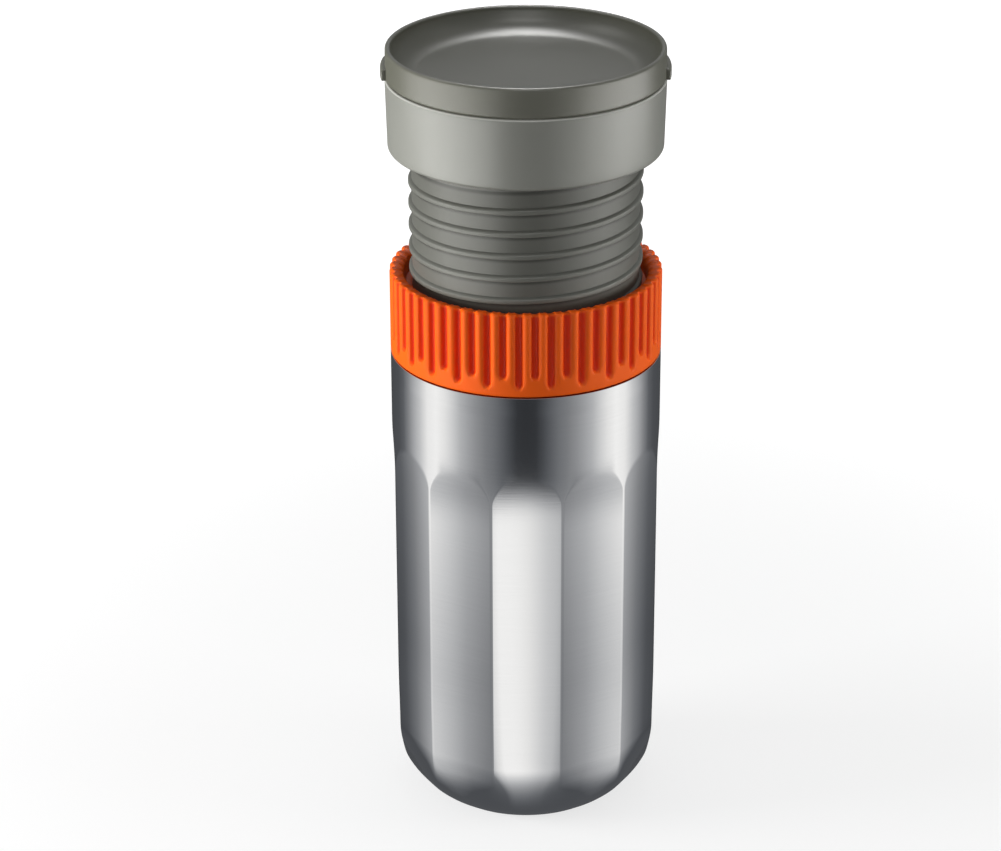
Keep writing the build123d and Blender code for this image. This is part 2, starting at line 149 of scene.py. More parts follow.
# %% [markdown]
# The others are sums. A soft step rises from 0 to 1, a soft drop falls from 1 to 0, and a level ramp
# gives a grey level for each value.

# %% Sums with nodes
def math_node(tree, operation, first, second=None, clamp=False):
    """Adds a Math node and links or sets its two inputs."""
    node = add_node(tree, "Math", operation=operation, use_clamp=clamp)
    for socket, value in zip(node.inputs, (first, second)):
        if value is None:
            continue
        if isinstance(value, (int, float)):
            socket.default_value = value
        else:
            tree.links.new(value, socket)
    return node.outputs[0]


def product(tree, first, *others):
    """Multiplies two or more values."""
    for other in others:
        first = math_node(tree, "MULTIPLY", first, other)
    return first


def soft_step(tree, value, low, high):
    """Goes from 0 at low to 1 at high, smoothly."""
    node = add_node(tree, "MapRange", interpolation_type="SMOOTHSTEP", From_Min=low, From_Max=high)
    tree.links.new(value, node.inputs["Value"])
    return node.outputs["Result"]


def soft_drop(tree, value, low, high):
    """Goes from 1 at low to 0 at high, smoothly."""
    return math_node(tree, "SUBTRACT", 1.0, soft_step(tree, value, low, high))


def level_ramp(tree, value, stops):
    """Maps a value to grey levels through a colour ramp."""
    node = add_node(tree, "ValToRGB")
    tree.links.new(value, node.inputs["Fac"])
    ramp = node.color_ramp
    while len(ramp.elements) < len(stops):
        ramp.elements.new(0.5)
    for stop, (position, level) in zip(ramp.elements, stops):
        stop.position = position
        stop.color = (level, level, level, 1)
    return node.outputs["Color"]


print("sums ready")

# %% [markdown]
# ## Floor, light and background
#
# The mug stands on a plain white floor. Upright steel that is seen from above mirrors the floor,
# not the lamps, so the floor decides how the mug looks. A photographer lays white and grey cards
# round the mug, and the floor's material does the same for mirrored rays only.
#
# A mirrored ray leaves from the mug's side and not from its axis. Two rounds of a small correction
# turn the bearing of a spot on the floor into the heading in which the ray left.

# %% Floor
floor_size = 12.0
steepest_sine = 0.98

bpy.ops.object.select_all(action="DESELECT")
bpy.ops.mesh.primitive_plane_add(size=floor_size, location=(0, 0, 0))
floor = bpy.context.object
floor.name = "floor"
floor_paint, tree, shader = new_material("floor_paint")
tree.nodes.remove(shader)
floor.data.materials.append(floor_paint)

place, across, along = object_place(tree)[:3]
toward = math_node(tree, "MULTIPLY", along, -1.0)
bearing = math_node(tree, "ABSOLUTE", math_node(tree, "ARCTAN2", across, toward))
length = add_node(tree, "VectorMath", operation="LENGTH")
tree.links.new(place, length.inputs[0])
reach = length.outputs["Value"]
heading = bearing
for _ in range(2):
    half_sine = math_node(tree, "SINE", math_node(tree, "MULTIPLY", heading, 0.5))
    aside = math_node(tree, "MULTIPLY", half_sine, body_radius * MM)
    sine = math_node(tree, "MINIMUM", math_node(tree, "DIVIDE", aside, reach), steepest_sine)
    heading = math_node(tree, "ADD", bearing, math_node(tree, "ARCSINE", sine))
heading_share = math_node(tree, "DIVIDE", heading, math.pi)
print("floor is", round(floor.dimensions.x, 1), "m wide")

# %% [markdown]
# Each heading from the mug has its own level, the floor gets darker towards the foot, a white card
# lies in front for the front flat, and a grey strip shades the arched tops of the flats beside it.
# Right under the foot a little light is left, so that the heel does not go black.

# %% Cards on the floor
card_start, card_end = (0.028, 0.072), (0.242, 0.274)
strip_start, strip_end = (0.226, 0.258), (0.267, 0.275)
strip_from, strip_to, strip_depth = (0.2, 0.25), (0.42, 0.47), 0.33
foot_end, foot_level = (0.05, 0.1), 0.1

near_cards = level_ramp(tree, heading_share, (
    (0.0, 0.044), (0.045, 0.049), (0.08, 0.09), (0.117, 0.15), (0.156, 0.215), (0.195, 0.265), (0.24, 0.355),
    (0.278, 0.45), (0.322, 0.58), (0.367, 0.8), (0.411, 0.99), (0.461, 1.12), (0.517, 1.04), (0.573, 0.7),
    (0.62, 0.5), (0.667, 0.3), (0.72, 0.15), (0.78, 0.1), (1.0, 0.06)))
foot_shade = level_ramp(tree, reach, (
    (0.0, 0.05), (0.03, 0.08), (0.0365, 0.15), (0.048, 0.5), (0.07, 0.74), (0.0947, 0.75), (0.122, 0.72),
    (0.157, 0.79), (0.192, 0.88), (0.24, 1.0)))
side = math_node(tree, "SIGN", across)
swing = math_node(tree, "ADD", product(tree, heading_share, side, 2.0), 0.5)
front_levels = level_ramp(tree, swing, (
    (0.0, 0.0), (0.08, 0.04), (0.167, 0.1), (0.278, 0.22), (0.33, 0.84), (0.37, 1.07), (0.425, 1.08),
    (0.47, 1.04), (0.514, 0.96), (0.56, 0.83), (0.606, 0.69), (0.65, 0.58), (0.7, 0.34), (0.75, 0.2),
    (0.833, 0.1), (1.0, 0.0)))

front_card = product(tree, front_levels, soft_step(tree, toward, *card_start), soft_drop(tree, reach, *card_end))
strip_along = product(tree, soft_step(tree, reach, *strip_start), soft_drop(tree, reach, *strip_end))
strip_round = product(
    tree, soft_step(tree, heading_share, *strip_from), soft_drop(tree, heading_share, *strip_to))
grey_strip = product(tree, strip_along, strip_round, strip_depth)
near_light = product(tree, near_cards, foot_shade, math_node(tree, "SUBTRACT", 1.0, grey_strip))
under_foot = product(tree, soft_drop(tree, reach, *foot_end), foot_level)
mirrored = math_node(tree, "ADD", math_node(tree, "MAXIMUM", near_light, under_foot), front_card)
print("cards made of", len(tree.nodes), "nodes")

# %% [markdown]
# Dim cards are a little blue and bright ones a little warm. Mirrored rays see the cards, the camera
# sees a plain white floor with the mug's soft shadow, and all other rays meet plain grey.

# %% Floor shader
seen_grey, unseen_grey = (0.32, 0.32, 0.32, 1), (0.2, 0.2, 0.2, 1)
glow_near, glow_gain, glow_reach = 0.71, 0.35, (0.1, 0.6)
dim_tint, middle_tint, bright_tint = (0.86, 0.91, 1.0, 1), (0.985, 0.99, 1.0, 1), (1.045, 1.02, 0.98, 1)
middle_level = 0.3

lit = add_node(tree, "BsdfDiffuse", Color=seen_grey)
glow = add_node(tree, "Emission", Color=(1, 1, 1, 1))
farther = product(tree, soft_step(tree, reach, *glow_reach), glow_gain)
tree.links.new(math_node(tree, "ADD", farther, glow_near), glow.inputs["Strength"])
seen = add_node(tree, "AddShader")
tree.links.new(lit.outputs[0], seen.inputs[0])
tree.links.new(glow.outputs[0], seen.inputs[1])
unseen = add_node(tree, "BsdfDiffuse", Color=unseen_grey)

tint = add_node(tree, "ValToRGB")
tint.color_ramp.elements.new(middle_level)
for stop, colour in zip(tint.color_ramp.elements, (dim_tint, middle_tint, bright_tint)):
    stop.color = colour
tree.links.new(mirrored, tint.inputs["Fac"])
cards = add_node(tree, "Emission")
tree.links.new(mirrored, cards.inputs["Strength"])
tree.links.new(tint.outputs["Color"], cards.inputs["Color"])

rays = add_node(tree, "LightPath").outputs
mirror_rays = math_node(tree, "MAXIMUM", rays["Is Glossy Ray"], rays["Is Transmission Ray"])
to_camera = mix_shaders(tree, rays["Is Camera Ray"], unseen, seen)
painted = mix_shaders(tree, mirror_rays, to_camera, cards)
tree.links.new(painted.outputs[0], tree.nodes["Material Output"].inputs["Surface"])
print("floor paint made of", len(tree.nodes), "nodes")

# %% [markdown]
# Lamps on the left and right, the left one stronger, light the plastic's own colour. A weak one in
# front and one above fill in. They are hidden from reflections.

# %% Lamps
def soft_lamp(name, place, target, width, height, power):
    """Adds a rectangular lamp that faces a target, lengths in metres and power in watts."""
    bpy.ops.object.select_all(action="DESELECT")
    bpy.ops.object.light_add(type="AREA", location=place)
    lamp = bpy.context.object
    lamp.name = name
    lamp.data.shape = "RECTANGLE"
    lamp.data.size = width
    lamp.data.size_y = height
    lamp.data.energy = power
    lamp.rotation_euler = (Vector(target) - Vector(place)).to_track_quat("-Z", "Y").to_euler()
    return lamp


ring_middle, ring_top = (0, 0, 0.15), (0, 0, 0.16)
collar_foot, collar_middle = (0, 0, 0.19), (0, 0, 0.2)
colour_lamps = [
    soft_lamp("left_lamp", (-0.796, -0.084, 0.16), ring_top, 0.4, 0.28, 8.9),
    soft_lamp("right_lamp", (0.796, -0.084, 0.16), ring_top, 0.4, 0.28, 3.3),
    soft_lamp("front_lamp", (0, -1.2, 0.25), ring_middle, 0.5, 0.3, 1.2),
    soft_lamp("top_lamp", (0, 0.25, 1.1), collar_middle, 0.4, 0.3, 0.9),
]
for lamp in colour_lamps:
    lamp.visible_glossy = False
print("lamps:", [lamp.name for lamp in colour_lamps])

# %% [markdown]
# The shine is made by separate cards that only reflections see: low and high ones at both sides, one
# above the lid for the bright crescent in its dish, one in front for the dish's far wall, and three high
# up for the edges. So the plastic is darkest in the middle of its front and brightest a little way
# round each side.

# %% Shine cards
shine = [
    soft_lamp("left_low_card", (-0.203, -0.133, 0.095), collar_middle, 0.3, 0.05, 0.35),
    soft_lamp("left_high_card", (-0.233, -0.068, 0.142), collar_middle, 0.3, 0.05, 0.16),
    soft_lamp("right_low_card", (0.203, -0.133, 0.095), collar_middle, 0.3, 0.05, 0.13),
    soft_lamp("right_high_card", (0.235, -0.059, 0.142), collar_middle, 0.3, 0.05, 0.25),
    soft_lamp("top_card", (0, 0.35, 1.1), collar_middle, 0.24, 0.62, 9.9),
    soft_lamp("wall_card", (0, -1.2, 0.58), collar_middle, 0.6, 0.3, 1.9),
    soft_lamp("high_card", (0, -0.75, 1.05), collar_middle, 0.5, 0.3, 2.2),
    soft_lamp("left_sky_card", (-0.55, 0.0, 0.72), collar_foot, 0.4, 0.4, 1.1),
    soft_lamp("right_sky_card", (0.55, 0.0, 0.72), collar_foot, 0.4, 0.4, 0.25),
]
for lamp in shine:
    lamp.visible_diffuse = False
print("cards:", [lamp.name for lamp in shine])

# %% [markdown]
# The world is white to the camera and a quiet grey to everything else.

# %% World
room_colour, room_level = (0.95, 0.965, 0.97, 1), 0.37

world = bpy.data.worlds.new("studio")
scene.world = world
world.use_nodes = True
tree = world.node_tree
tree.nodes.clear()
room = add_node(tree, "Background", Color=room_colour, Strength=room_level)
white = add_node(tree, "Background", Color=(1, 1, 1, 1), Strength=1.0)
rays = add_node(tree, "LightPath").outputs
sky = mix_shaders(tree, rays["Is Camera Ray"], room, white)
tree.links.new(sky.outputs[0], add_node(tree, "OutputWorld").inputs["Surface"])
print("world", world.name)

# %% [markdown]
# ## Finishes that several pieces share
#
# An effect that comes back on several pieces is a node group with its own inputs, so that it is made
# once. Brushing is the first: noise that is stretched round the piece and very fine along its height.

# %% Node group: brushing
def start_group(name, inputs, outputs, output_type="NodeSocketFloat"):
    """Makes an empty shader node group with float inputs and outputs of one type."""
    group = bpy.data.node_groups.new(name, "ShaderNodeTree")
    for label, value in inputs:
        socket = group.interface.new_socket(name=label, in_out="INPUT", socket_type="NodeSocketFloat")
        socket.default_value = value
    for label in outputs:
        group.interface.new_socket(name=label, in_out="OUTPUT", socket_type=output_type)
    return group, group.nodes.new("NodeGroupInput").outputs, group.nodes.new("NodeGroupOutput").inputs


brushing, given, put_out = start_group(
    "brushing", [("Round", 60.0), ("Up", 9000.0), ("Contrast", 1.0)], ["Line"])
place = object_place(brushing)[0]
scale = add_node(brushing, "CombineXYZ")
for axis, label in zip("XYZ", ("Round", "Round", "Up")):
    brushing.links.new(given[label], scale.inputs[axis])
stretch = add_node(brushing, "VectorMath", operation="MULTIPLY")
brushing.links.new(place, stretch.inputs[0])
brushing.links.new(scale.outputs[0], stretch.inputs[1])
streaks = add_node(brushing, "TexNoise", Scale=1.0, Detail=3.0, Roughness=0.6)
brushing.links.new(stretch.outputs[0], streaks.inputs["Vector"])
centred = math_node(brushing, "SUBTRACT", streaks.outputs["Fac"], 0.5)
line = product(brushing, centred, given["Contrast"])
brushing.links.new(math_node(brushing, "ADD", line, 0.5, clamp=True), put_out["Line"])
print("group", brushing.name, "puts out", [s.name for s in put_out if s.name])

# %% [markdown]
# Moulding grain is the faint pebbling of satin plastic. A slow cloud beside it keeps large faces from
# looking the same all over.

# %% Node group: moulding grain
grain, given, put_out = start_group("moulding_grain", [("Size", 1800.0), ("Cloud", 45.0)], ["Grain", "Cloud"])
place = object_place(grain)[0]
fine = add_node(grain, "TexNoise", Detail=2.0, Roughness=0.55)
slow = add_node(grain, "TexNoise", Detail=4.0, Roughness=0.5)
for noise, size, result in ((fine, "Size", "Grain"), (slow, "Cloud", "Cloud")):
    grain.links.new(place, noise.inputs["Vector"])
    grain.links.new(given[size], noise.inputs["Scale"])
    grain.links.new(noise.outputs["Fac"], put_out[result])
print("group", grain.name, "puts out", [s.name for s in put_out if s.name])

# %% [markdown]
# Pressed flats gives the directions that the mug's flats face. A mirror shows every small error of a
# mesh, so the steel takes these directions for its shine, and the mesh has the same flats for its
# outline. A flat is a little crowned and turns sharply at its ridges.

# %% Node group: pressed flats, across
flats, given, put_out = start_group(
    "pressed_flats", [("Crown", 0.42), ("Ridge", 0.06)], ["Normal"], "NodeSocketVector")
place, x, y, z = object_place(flats)
around = math_node(flats, "ARCTAN2", y, x)
number = math_node(flats, "ROUND", math_node(flats, "DIVIDE", around, flat_angle))
local = math_node(flats, "SUBTRACT", around, product(flats, number, flat_angle))
share = math_node(flats, "DIVIDE", math_node(flats, "ABSOLUTE", local), flat_angle / 2, clamp=True)

ridge = add_node(flats, "MapRange", interpolation_type="SMOOTHSTEP")
flats.links.new(share, ridge.inputs["Value"])
flats.links.new(math_node(flats, "SUBTRACT", 1.0, given["Ridge"]), ridge.inputs["From Min"])
left_to_turn = product(flats, math_node(flats, "SUBTRACT", 1.0, given["Crown"]), flat_angle / 2)
ridge_turn = product(flats, ridge.outputs["Result"], left_to_turn, math_node(flats, "SIGN", local))
flat_turn = math_node(flats, "ADD", product(flats, local, given["Crown"]), ridge_turn)
print("flats turn by", round(math.degrees(flat_angle)), "degrees")

# %% [markdown]
# A flat ends in an arch at its top, with a crisp edge, and in a flatter one at its foot, with a soft
# edge. Between the arches the steel faces as the flat does, and elsewhere it is round.

# %% Node group: pressed flats, arches
arch_power = 2.2
top_spring, top_rise, top_edge = 101.0 * MM, 9.5 * MM, 1.2 * MM
foot_spring, foot_fall, foot_below, foot_above = 19.5 * MM, 5.5 * MM, 4.5 * MM, 3.5 * MM

full = math_node(flats, "SUBTRACT", 1.0, math_node(flats, "POWER", share, arch_power), clamp=True)
curve = math_node(flats, "POWER", full, 1 / arch_power)
arch_top = math_node(flats, "ADD", product(flats, curve, top_rise), top_spring)
arch_foot = math_node(flats, "ADD", product(flats, curve, -foot_fall), foot_spring)
below_top = soft_step(flats, math_node(flats, "SUBTRACT", arch_top, z), -top_edge, top_edge)
above_foot = soft_step(flats, math_node(flats, "SUBTRACT", z, arch_foot), -foot_below, foot_above)
on_flat = product(flats, below_top, above_foot)
extra_turn = product(flats, on_flat, math_node(flats, "SUBTRACT", flat_turn, local))
facing = math_node(flats, "ADD", around, extra_turn)
print("arches spring at", round(foot_spring / MM, 1), "and", round(top_spring / MM, 1), "mm")

# %% [markdown]
# At the heel the steel turns down towards the foot. The group's directions hold on the outer wall only,
# so they are blended in by height and where they agree with the mesh.

# %% Node group: pressed flats, heel
steepest_sink = 0.9
agree, wall_foot, wall_top = (0.7, 0.9), (5 * MM, 8 * MM), (128 * MM, 131 * MM)

below_heel = math_node(flats, "SUBTRACT", heel_height * MM, z)
sink = math_node(flats, "MINIMUM", math_node(flats, "DIVIDE", below_heel, heel * MM, clamp=True), steepest_sink)
upright = math_node(flats, "SQRT", math_node(flats, "SUBTRACT", 1.0, product(flats, sink, sink)))
pressed = add_node(flats, "CombineXYZ")
flats.links.new(product(flats, math_node(flats, "COSINE", facing), upright), pressed.inputs["X"])
flats.links.new(product(flats, math_node(flats, "SINE", facing), upright), pressed.inputs["Y"])
flats.links.new(product(flats, sink, -1.0), pressed.inputs["Z"])

mesh_normal = place.node.outputs["Normal"]
outward = add_node(flats, "VectorMath", operation="DOT_PRODUCT")
flats.links.new(mesh_normal, outward.inputs[0])
flats.links.new(pressed.outputs[0], outward.inputs[1])
where = product(flats, soft_step(flats, outward.outputs["Value"], *agree),
                soft_step(flats, z, *wall_foot), soft_drop(flats, z, *wall_top))
blend = add_node(flats, "Mix", data_type="VECTOR")
flats.links.new(where, blend.inputs["Factor"])
flats.links.new(mesh_normal, blend.inputs["A"])
flats.links.new(pressed.outputs[0], blend.inputs["B"])
in_world = add_node(flats, "VectorTransform", vector_type="NORMAL", convert_from="OBJECT", convert_to="WORLD")
flats.links.new(blend.outputs["Result"], in_world.inputs[0])
flats.links.new(in_world.outputs[0], put_out["Normal"])
print("group", flats.name, "puts out", [s.name for s in put_out if s.name])

# %% [markdown]
# ## Materials
#
# All materials mix two close tones, vary their roughness a little, and lift the surface by a hair.

# %% Material helpers
def place_group(tree, group, **values):
    """Puts a node group into a material with its own values."""
    node = add_node(tree, "Group", node_tree=group)
    for key, value in values.items():
        node.inputs[key].default_value = value
    return node.outputs


def two_tone(tree, factor, dark, light):
    """Mixes two colours by a factor."""
    node = add_node(tree, "Mix", data_type="RGBA")
    node.inputs["A"].default_value = (*dark, 1)
    node.inputs["B"].default_value = (*light, 1)
    tree.links.new(factor, node.inputs["Factor"])
    return node.outputs["Result"]


def mixed_tone(tree, main, other, main_share=0.7):
    """Adds two patterns, the first with the larger share."""
    return math_node(tree, "ADD", product(tree, main, main_share), product(tree, other, 1 - main_share))


def set_roughness(tree, shader, pattern, roughness):
    """Varies the shader's roughness between two values by a pattern."""
    node = add_node(tree, "MapRange", To_Min=roughness[0], To_Max=roughness[1])
    tree.links.new(pattern, node.inputs["Value"])
    tree.links.new(node.outputs["Result"], shader.inputs["Roughness"])


def bump(tree, shader, height, strength, distance, under=None):
    """Feeds a height to the shader's normal, on top of another normal if there is one."""
    node = add_node(tree, "Bump", Strength=strength, Distance=distance)
    tree.links.new(height, node.inputs["Height"])
    if under:
        tree.links.new(under, node.inputs["Normal"])
    tree.links.new(node.outputs["Normal"], shader.inputs["Normal"])


print("material helpers ready")

# %% [markdown]
# Steel is a metal, so its colour is its reflection. The brushing and a slow cloud change its tone and
# its roughness. Only the outer shell takes the directions of the pressed flats.

# %% Steel
def steel(name, dark, light, roughness, brush_scales, lift, pressed=False):
    """Brushed stainless steel."""
    material, tree, shader = new_material(name)
    shader.inputs["Metallic"].default_value = 1.0
    line = place_group(tree, brushing, Round=brush_scales[0], Up=brush_scales[1], Contrast=1.4)["Line"]
    cloud = place_group(tree, grain, Size=900.0, Cloud=30.0)["Cloud"]
    tone = mixed_tone(tree, line, cloud)
    tree.links.new(two_tone(tree, tone, dark, light), shader.inputs["Base Color"])
    set_roughness(tree, shader, tone, roughness)
    under = place_group(tree, flats)["Normal"] if pressed else None
    bump(tree, shader, line, strength=0.35, distance=lift, under=under)
    return material


# name, dark tone, light tone, roughness, brushing round and up, lift
shell_steel = steel("shell_steel", (0.695, 0.71, 0.735), (0.77, 0.785, 0.81), (0.05, 0.09), (50, 7000),
                    0.003 * MM, pressed=True)
liner_steel = steel("liner_steel", (0.58, 0.585, 0.59), (0.68, 0.685, 0.69), (0.26, 0.38), (30, 3500), 0.006 * MM)
sheet_steel = steel("sheet_steel", (0.55, 0.555, 0.56), (0.66, 0.665, 0.67), (0.3, 0.42), (900, 900), 0.005 * MM)
print("steels:", shell_steel.name, liner_steel.name, sheet_steel.name)

# %% [markdown]
# The plastics share one recipe: a base colour that the cloud varies by a few percent, a roughness
# round a middle value, and a faint grain.

# %% Plastics and rubber
def plastic(name, dark, light, roughness, grain_size, gloss=0.5, grain_lift=0.02 * MM):
    """Moulded plastic or rubber with a fine grain."""
    material, tree, shader = new_material(name)
    shader.inputs["Specular IOR Level"].default_value = gloss
    skin = place_group(tree, grain, Size=grain_size, Cloud=40.0)
    tone = mixed_tone(tree, skin["Cloud"], skin["Grain"])
    tree.links.new(two_tone(tree, tone, dark, light), shader.inputs["Base Color"])
    set_roughness(tree, shader, skin["Cloud"], roughness)
    bump(tree, shader, skin["Grain"], strength=0.25, distance=grain_lift)
    return material


# name, dark tone, light tone, roughness, grain size, gloss
lid_plastic = plastic("lid_plastic", (0.095, 0.095, 0.072), (0.110, 0.110, 0.084), (0.36, 0.44), 2600, 0.7)
tube_plastic = plastic("tube_plastic", (0.100, 0.101, 0.087), (0.115, 0.116, 0.101), (0.38, 0.46), 2600, 0.37)
collar_plastic = plastic("collar_plastic", (0.215, 0.217, 0.192), (0.24, 0.242, 0.216), (0.34, 0.42), 2600)
grip_rubber = plastic("grip_rubber", (0.885, 0.109, 0.003), (0.925, 0.119, 0.004), (0.42, 0.52), 2000, 0.14,
                      0.03 * MM)
nut_plastic = plastic("nut_plastic", (0.74, 0.085, 0.004), (0.80, 0.10, 0.005), (0.4, 0.5), 2000, 0.3)
basket_plastic = plastic("basket_plastic", (0.10, 0.10, 0.09), (0.118, 0.118, 0.106), (0.38, 0.48), 2400)
seal_silicone = plastic("seal_silicone", (0.55, 0.55, 0.52), (0.61, 0.61, 0.58), (0.42, 0.55), 1500, 0.4)
slip_plastic = plastic("slip_plastic", (0.62, 0.62, 0.59), (0.68, 0.68, 0.65), (0.35, 0.45), 2000)
print("materials:", len(bpy.data.materials))

# %% [markdown]
# Some colours are painted at a place on the piece. The collar's rim gets a painted highlight, a thin
# pale line. The bottoms of the grip's grooves get painted shade, a deeper red, found by their radius.
# The grip's rim and bore keep their orange.

# %% Painted highlight and shade at places
def paint_over(material, mask, colour):
    """Lays a colour over a material's own colour where a mask is 1."""
    tree = material.node_tree
    base = tree.nodes["Principled BSDF"].inputs["Base Color"]
    own_colour = base.links[0].from_socket
    painted = two_tone(tree, mask, colour, colour)
    tree.links.new(own_colour, painted.node.inputs["A"])
    tree.links.new(painted, base)


def radius_of(tree, x, y):
    """Distance from the axis."""
    return math_node(tree, "SQRT", math_node(tree, "ADD", product(tree, x, x), product(tree, y, y)))


# The collar's pale rim is a painted highlight along its top edge.
rim_highlight_colour, rim_edge = (0.46, 0.46, 0.42), (211.5 * MM, 211.7 * MM)
tree = collar_plastic.node_tree
z = object_place(tree)[3]
paint_over(collar_plastic, soft_step(tree, z, *rim_edge), rim_highlight_colour)

# Painted shade: the groove bottoms are coloured a deeper red where the light does not reach.
groove_shade_red = (0.73, 0.036, 0.0006)
groove_wall, rim_start, bore_edge = (35.9 * MM, 36.8 * MM), (157.1 * MM, 157.8 * MM), (33.6 * MM, 34.2 * MM)
tree = grip_rubber.node_tree
_, x, y, z = object_place(tree)
radius = radius_of(tree, x, y)
raised = math_node(tree, "MAXIMUM", soft_step(tree, radius, *groove_wall), soft_step(tree, z, *rim_start))
raised = math_node(tree, "MAXIMUM", raised, soft_drop(tree, radius, *bore_edge))
paint_over(grip_rubber, math_node(tree, "SUBTRACT", 1.0, raised), groove_shade_red)
print("painted", collar_plastic.name, "and", grip_rubber.name)

# %% [markdown]
# The crest of the thread gets a painted highlight, a paler grey, and the corner under the bead gets a
# painted shadow, a darker grey. The crest is found by its radius. The corner follows the screw line:
# height over lead, less the share of a turn.

# %% Painted highlight and shadow on the thread
bead_shadow_grey, crest_highlight_grey = (0.045, 0.045, 0.038), (0.133, 0.135, 0.117)
corner_from, corner_to = (0.66, 0.82), (0.87, 0.91)
outer_wall, crest_edge = (30.2 * MM, 30.5 * MM), (30.85 * MM, 31.45 * MM)

tree = tube_plastic.node_tree
_, x, y, z = object_place(tree)
radius = radius_of(tree, x, y)
turn_share = math_node(tree, "DIVIDE", math_node(tree, "ARCTAN2", y, x), 2 * math.pi)
climbed = math_node(tree, "DIVIDE", math_node(tree, "SUBTRACT", z, thread_start * MM), lead * MM)
phase = math_node(tree, "FRACT", math_node(tree, "SUBTRACT", climbed, turn_share))
# Painted shadow in the corner under the bead.
corner = product(tree, soft_step(tree, phase, *corner_from), soft_drop(tree, phase, *corner_to),
                 soft_step(tree, radius, *outer_wall))
paint_over(tube_plastic, corner, bead_shadow_grey)
# Painted highlight along the crest of the bead.
paint_over(tube_plastic, soft_step(tree, radius, *crest_edge), crest_highlight_grey)
print("painted light and shade on", tube_plastic.name)

# %% [markdown]
# ## Sections and points
#
# Most pieces are turned from a half section. Curves in a section are short runs of points on an arc,
# and a sharp corner can be rounded.

# %% Section helpers
def arc(centre, radius, start, end, count):
    """Points on an arc of the section, angles in degrees, all lengths in millimetres."""
    step = (end - start) / count
    angles = [math.radians(start + step * i) for i in range(count + 1)]
    return [(centre[0] + radius * math.cos(a), centre[1] + radius * math.sin(a)) for a in angles]


def rounded(points, cuts):
    """Rounds corners of a section: cuts maps a corner's number to its radius in millimetres."""
    steps, longest_cut = 5, 0.49
    shaped = []
    for i, point in enumerate(points):
        if i not in cuts:
            shaped.append(point)
            continue
        corner = Vector(point)
        to_before, to_after = Vector(points[i - 1]) - corner, Vector(points[(i + 1) % len(points)]) - corner
        half = to_before.angle(to_after) / 2
        back = min(cuts[i] / math.tan(half), longest_cut * to_before.length, longest_cut * to_after.length)
        first, last = corner + to_before.normalized() * back, corner + to_after.normalized() * back
        for t in (step / steps for step in range(steps + 1)):
            weights = (1 - t) ** 2, 2 * t * (1 - t) * math.sin(half), t * t
            spot = first * weights[0] + corner * weights[1] + last * weights[2]
            shaped.append(tuple(spot / sum(weights)))
    return shaped


print("a quarter arc has", len(arc((0, 0), 1.0, 0, 90, 5)), "points")

# %% [markdown]
# A few more helpers move the points of a finished mesh. They read a point as radius, direction and
# height, ease between two values, and join surfaces softly.

# %% Point helpers
def round_axis(point):
    """A mesh point's radius, direction and height, lengths in millimetres."""
    x, y, z = (c / MM for c in point.co)
    return math.hypot(x, y), math.atan2(y, x), z


def on_axis(r, direction, z):
    """The place in metres for a radius, a direction and a height in millimetres."""
    return r * math.cos(direction) * MM, r * math.sin(direction) * MM, z * MM


def clamp(value):
    """Keeps a value between 0 and 1."""
    return min(1.0, max(0.0, value))


def ease(value):
    """Goes from 0 to 1 with a soft start and end."""
    t = clamp(value)
    return t * t * (3 - 2 * t)


def soft_minimum(values, sharpness):
    """The least of some values, with a rounded join where two of them meet."""
    least = min(values)
    return least - math.log(sum(math.exp(sharpness * (least - v)) for v in values)) / sharpness


print("half-way eased:", ease(0.5))

# %% [markdown]
# ## A lathe made of operators
#
# By hand one would start with a plane, merge it to one point, extrude that point along the section and
# use Spin. The helpers do the same.

# %% Lathe helpers
weld_distance = 0.002 * MM


def drawn(name, spots):
    """Extrudes one point along places in metres, and stays in edit mode."""
    bpy.ops.object.select_all(action="DESELECT")
    bpy.ops.mesh.primitive_plane_add(size=MM)
    piece = bpy.context.object
    piece.name = name
    bpy.ops.object.mode_set(mode="EDIT")
    bpy.ops.mesh.select_all(action="SELECT")
    bpy.ops.mesh.merge(type="CENTER")
    bpy.ops.transform.translate(value=spots[0])
    for last, spot in zip(spots, spots[1:]):
        move = tuple(b - a for a, b in zip(last, spot))
        bpy.ops.mesh.extrude_region_move(TRANSFORM_OT_translate={"value": move})
    return piece


def turned(name, section, steps=192, angle=360.0, start=0.0):
    """Draws a section in millimetres and spins it round the axis, angles in degrees."""
    piece = drawn(name, [on_axis(r, math.radians(start), z) for r, z in section])
    bpy.ops.mesh.select_all(action="SELECT")
    bpy.ops.mesh.spin(steps=steps, angle=math.radians(angle), center=(0, 0, 0), axis=(0, 0, 1))
    bpy.ops.mesh.select_all(action="SELECT")
    bpy.ops.mesh.remove_doubles(threshold=weld_distance)
    bpy.ops.mesh.normals_make_consistent(inside=False)
    bpy.ops.object.mode_set(mode="OBJECT")
    return piece


print("lathe ready")

# %% [markdown]
# A finished piece is smoothed, gets its material, and is tied to the body that it moves with. It also
# hides the solids that it stands for.

# %% Finishing helpers
def join(piece, others):
    """Joins other meshes into a piece."""
    bpy.ops.object.select_all(action="DESELECT")
    for mesh in (*others, piece):
        mesh.select_set(True)
    bpy.context.view_layer.objects.active = piece
    bpy.ops.object.join()


def finish_piece(piece, material, body, stands_for=(), angle=50.0):
    """Smooths a piece, gives it its material and ties it to its body."""
    bpy.ops.object.select_all(action="DESELECT")
    piece.select_set(True)
    bpy.context.view_layer.objects.active = piece
    bpy.ops.object.shade_smooth_by_angle(angle=math.radians(angle))
    piece.data.materials.clear()
    piece.data.materials.append(material)
    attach(piece, body)
    if stands_for:
        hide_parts(*stands_for)
    print(piece.name, len(piece.data.polygons), "faces")


print("finishing ready")

# %% [markdown]
# ## The mug's outer shell
#
# The shell is drawn steel with a round heel, a slight swell, a plain band below the ring and a neck
# that the ring covers. It is turned with many columns of points, so that the flats can be pressed into it.

